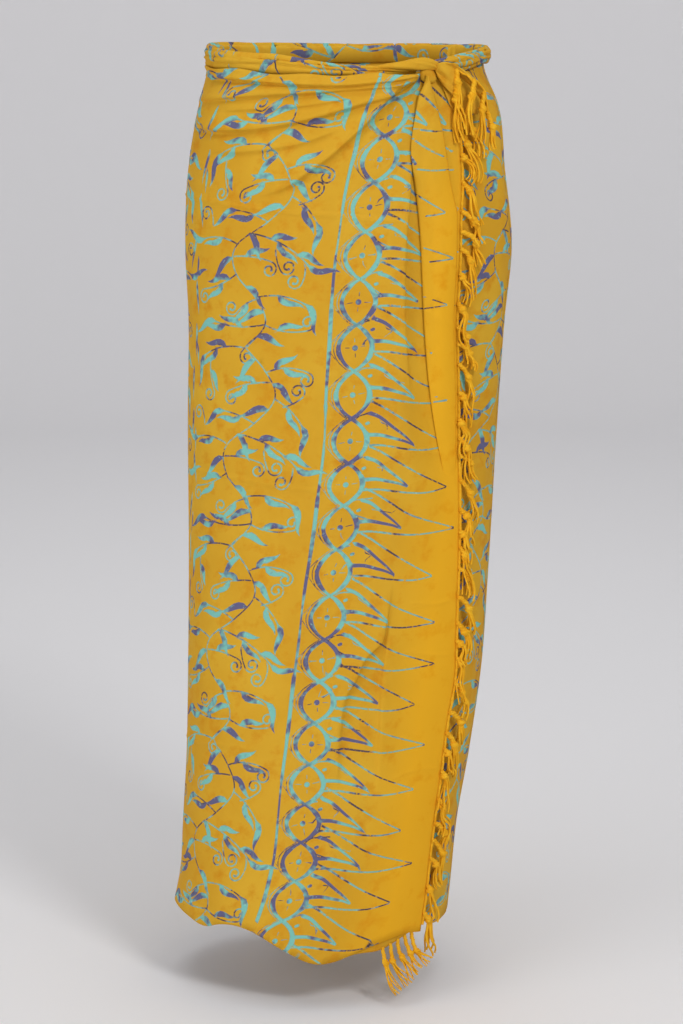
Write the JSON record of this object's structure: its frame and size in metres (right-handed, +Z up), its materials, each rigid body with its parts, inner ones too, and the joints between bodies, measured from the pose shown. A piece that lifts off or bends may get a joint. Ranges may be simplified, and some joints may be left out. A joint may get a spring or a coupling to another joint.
{
  "type": "batik sarong, wrapped and tied",
  "caption": "Ankle-length batik sarong in its worn shape: one fringed cloth wound round the hips and tied at the front right, with an open waist and hem.",
  "frame": {"origin": "centre of the waist, level with the tie, where the wearer holds the cloth up", "axes": "+Z up, the front faces -Y, and the tied and fringed side is at +X"},
  "size_m": [0.3702, 0.2873, 1.0084],
  "materials": {
    "batik_cloth": "soft rayon, waxed and dyed vine pattern on golden yellow",
    "plain_cloth": "soft rayon, plain mottled golden yellow",
    "fringe_yarn": "twisted rayon yarn"
  },
  "bodies": {
    "root": {"front_panel": "batik_cloth", "back_panel_left": "batik_cloth", "back_panel_right": "batik_cloth", "side_panel": "batik_cloth", "under_panel": "batik_cloth", "hanging_pleat": "plain_cloth", "turned_corner": "plain_cloth", "waist_roll_front": "batik_cloth", "waist_roll_back": "batik_cloth", "knot": "plain_cloth", "tied_corner": "plain_cloth", "tucked_tip": "plain_cloth", "edge_fringe": "fringe_yarn", "corner_fringe": "fringe_yarn", "tie_fringe": "fringe_yarn"}
  },
  "joints": []
}
